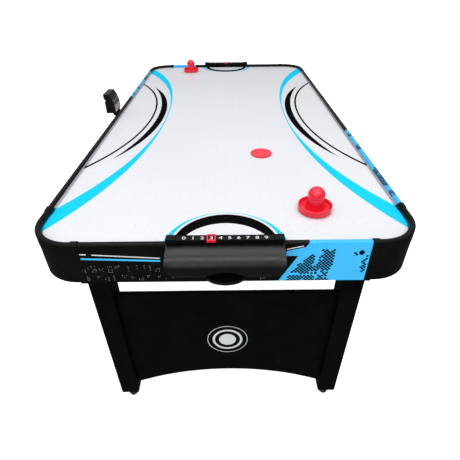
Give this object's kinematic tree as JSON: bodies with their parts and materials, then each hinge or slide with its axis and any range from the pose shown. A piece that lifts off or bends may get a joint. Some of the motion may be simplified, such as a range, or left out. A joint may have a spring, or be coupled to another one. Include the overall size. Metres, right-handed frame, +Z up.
{
  "type": "air hockey table",
  "caption": "Air hockey table with rounded corner castings, goal hoods with sliding score markers, side scoreboard, panelled leg frames, mallets and puck.",
  "frame": {"origin": "on the floor, under the middle of the bounding box, which takes in the scoreboard outside the left rail, so the playing field's centre line is 21.25 mm towards +X", "axes": "+Z up; +Y along the table's length towards the far end; +X to the right of a player standing at the near end"},
  "size_m": [0.954, 1.938, 0.8725],
  "materials": {
    "black_vinyl": "boards wrapped in satin black printed film",
    "black_plastic": "moulded satin black plastic",
    "field_white": "board with a smooth glossy printed white surface",
    "raw_board": "unfinished fibreboard",
    "rail_aluminium": "satin",
    "red_plastic": "glossy moulded red plastic",
    "white_felt": "pressed felt",
    "dark_steel": "black coated steel",
    "smoked_lens": "smoked red window",
    "circuit_green": "printed circuit board"
  },
  "bodies": {
    "table": {"playfield": "field_white", "bottom_board": "raw_board", "fan_housing": "black_plastic", "fan_motor": "dark_steel", "fan_guard": "dark_steel", "scoreboard_front_shell": "black_plastic", "scoreboard_rear_shell": "black_plastic", "scoreboard_lens_near": "smoked_lens", "scoreboard_lens_far": "smoked_lens", "scoreboard_display": "circuit_green", "scoreboard_bracket": "black_plastic", "power_plate": "black_plastic", "power_inlet": "black_plastic", "apron_left": "black_vinyl", "rail_strip_left": "rail_aluminium", "plenum_batten_left": "raw_board", "apron_right": "black_vinyl", "rail_strip_right": "rail_aluminium", "plenum_batten_right": "raw_board", "apron_near": "black_vinyl", "plenum_batten_near": "raw_board", "goal_liner_near": "black_plastic", "goal_hood_near": "black_plastic", "puck_tray_near": "black_plastic", "scorer_bar_near": "black_plastic", "end_panel_near": "black_vinyl", "casting_near_left": "black_plastic", "bolt_cap_near_left": "black_plastic", "leg_near_left": "black_vinyl", "casting_near_right": "black_plastic", "bolt_cap_near_right": "black_plastic", "leg_near_right": "black_vinyl", "apron_far": "black_vinyl", "plenum_batten_far": "raw_board", "goal_liner_far": "black_plastic", "goal_hood_far": "black_plastic", "puck_tray_far": "black_plastic", "scorer_bar_far": "black_plastic", "end_panel_far": "black_vinyl", "casting_far_left": "black_plastic", "bolt_cap_far_left": "black_plastic", "leg_far_left": "black_vinyl", "casting_far_right": "black_plastic", "bolt_cap_far_right": "black_plastic", "leg_far_right": "black_vinyl"},
    "mallet_near": {"mallet_near": "red_plastic", "mallet_pad_near": "white_felt"},
    "mallet_far": {"mallet_far": "red_plastic", "mallet_pad_far": "white_felt"},
    "puck": {"puck": "red_plastic"},
    "score_marker_near": {"score_marker_near": "red_plastic"},
    "score_marker_far": {"score_marker_far": "red_plastic"},
    "fan_rotor": {"fan_rotor": "black_plastic"},
    "scoreboard_button": {"scoreboard_button": "red_plastic"},
    "power_switch": {"power_switch": "black_plastic"},
    "leveller_near_left": {"leveller_near_left": "black_plastic"},
    "leveller_near_right": {"leveller_near_right": "black_plastic"},
    "leveller_far_left": {"leveller_far_left": "black_plastic"},
    "leveller_far_right": {"leveller_far_right": "black_plastic"}
  },
  "joints": [
    {"name": "mallet_near_slide", "type": "slide", "parent": "table", "child": "mallet_near", "axis": [0, 1, 0], "range_m": [-0.092, 0.716]},
    {"name": "mallet_far_slide", "type": "slide", "parent": "table", "child": "mallet_far", "axis": [0, 1, 0], "range_m": [-0.745, 0.063]},
    {"name": "puck_slide", "type": "slide", "parent": "table", "child": "puck", "axis": [0, 1, 0], "range_m": [-0.45, 1.274]},
    {"name": "score_near_slide", "type": "slide", "parent": "table", "child": "score_marker_near", "axis": [1, 0, 0], "range_m": [-0.0606, 0.1212]},
    {"name": "score_far_slide", "type": "slide", "parent": "table", "child": "score_marker_far", "axis": [1, 0, 0], "range_m": [-0.0909, 0.0909]},
    {"name": "fan_spin", "type": "hinge", "parent": "table", "child": "fan_rotor", "pos_m": [0.0175, 0, 0.7126], "axis": [0, 0, 1], "continuous": true},
    {"name": "score_reset_press", "type": "slide", "parent": "table", "child": "scoreboard_button", "axis": [0, 0, -1], "range_m": [0, 0.0015], "stiffness_N_per_m": 300, "springref_m": -0.0008},
    {"name": "power_rock", "type": "hinge", "parent": "table", "child": "power_switch", "pos_m": [0.471, 0.622, 0.73], "axis": [0, 0, 1], "range_deg": [0, 14]},
    {"name": "leveller_near_left_screw", "type": "slide", "parent": "table", "child": "leveller_near_left", "axis": [0, 0, -1], "range_m": [0, 0.012]},
    {"name": "leveller_near_right_screw", "type": "slide", "parent": "table", "child": "leveller_near_right", "axis": [0, 0, -1], "range_m": [0, 0.012]},
    {"name": "leveller_far_left_screw", "type": "slide", "parent": "table", "child": "leveller_far_left", "axis": [0, 0, -1], "range_m": [0, 0.012]},
    {"name": "leveller_far_right_screw", "type": "slide", "parent": "table", "child": "leveller_far_right", "axis": [0, 0, -1], "range_m": [0, 0.012]}
  ]
}
